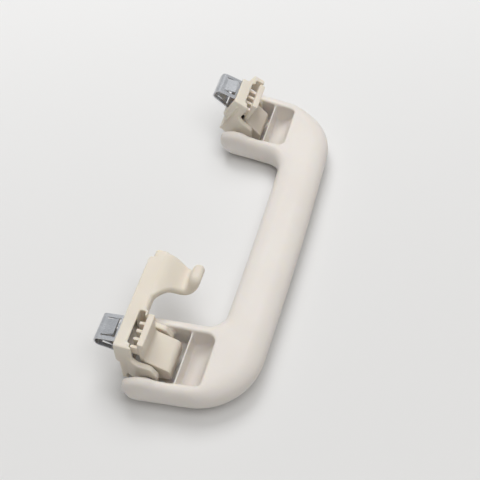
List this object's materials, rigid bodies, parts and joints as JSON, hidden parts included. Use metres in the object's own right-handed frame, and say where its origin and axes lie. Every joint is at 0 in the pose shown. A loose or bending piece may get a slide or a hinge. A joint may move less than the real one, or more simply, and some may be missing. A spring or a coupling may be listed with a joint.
{
  "type": "roof grab handle",
  "caption": "Folding roof grab handle: bowed grip on hollow legs, hinged fixing brackets with spring clips and lock covers, and a coat hook.",
  "frame": {"origin": "middle of the flat land on the grip's front, which is the side the hand sees when the handle is fitted", "axes": "+Y along the grip, -X along the legs towards the fixing brackets, +Z out of the legs' pockets"},
  "size_m": [0.0887, 0.2301, 0.0457],
  "materials": {
    "ivory": "fine grained",
    "bracket_ivory": "as moulded",
    "clip_steel": "zinc plated",
    "pin_steel": "ground",
    "spring_steel": "drawn wire",
    "damper_plastic": "as moulded"
  },
  "bodies": {
    "handle": {"handle_body": "ivory", "hook_side_pin": "pin_steel", "plain_side_pin": "pin_steel", "damper_rotor": "damper_plastic"},
    "hook_bracket": {"hook_bracket": "bracket_ivory", "hook_side_clip": "clip_steel", "return_spring": "spring_steel"},
    "plain_bracket": {"plain_bracket": "bracket_ivory", "plain_side_clip": "clip_steel", "damper_housing": "damper_plastic", "damper_lid": "damper_plastic"},
    "hook_lock_cover": {"hook_side_lock_cover": "bracket_ivory"},
    "plain_lock_cover": {"plain_side_lock_cover": "bracket_ivory"}
  },
  "joints": [
    {"name": "hook_bracket_turn", "type": "hinge", "parent": "handle", "child": "hook_bracket", "pos_m": [-0.0437, -0.0896, 0.014], "axis": [0, 1, 0], "range_deg": [0, 80]},
    {"name": "plain_bracket_turn", "type": "hinge", "parent": "handle", "child": "plain_bracket", "pos_m": [-0.0437, 0.0896, 0.014], "axis": [0, 1, 0], "range_deg": [-29.5, 50.5]},
    {"name": "hook_lock_cover_turn", "type": "hinge", "parent": "hook_bracket", "child": "hook_lock_cover", "pos_m": [-0.0437, -0.0896, 0.014], "axis": [0, -1, 0], "range_deg": [0, 9]},
    {"name": "plain_lock_cover_turn", "type": "hinge", "parent": "plain_bracket", "child": "plain_lock_cover", "pos_m": [-0.0437, 0.0896, 0.014], "axis": [0, -1, 0], "range_deg": [-5, 4]}
  ]
}
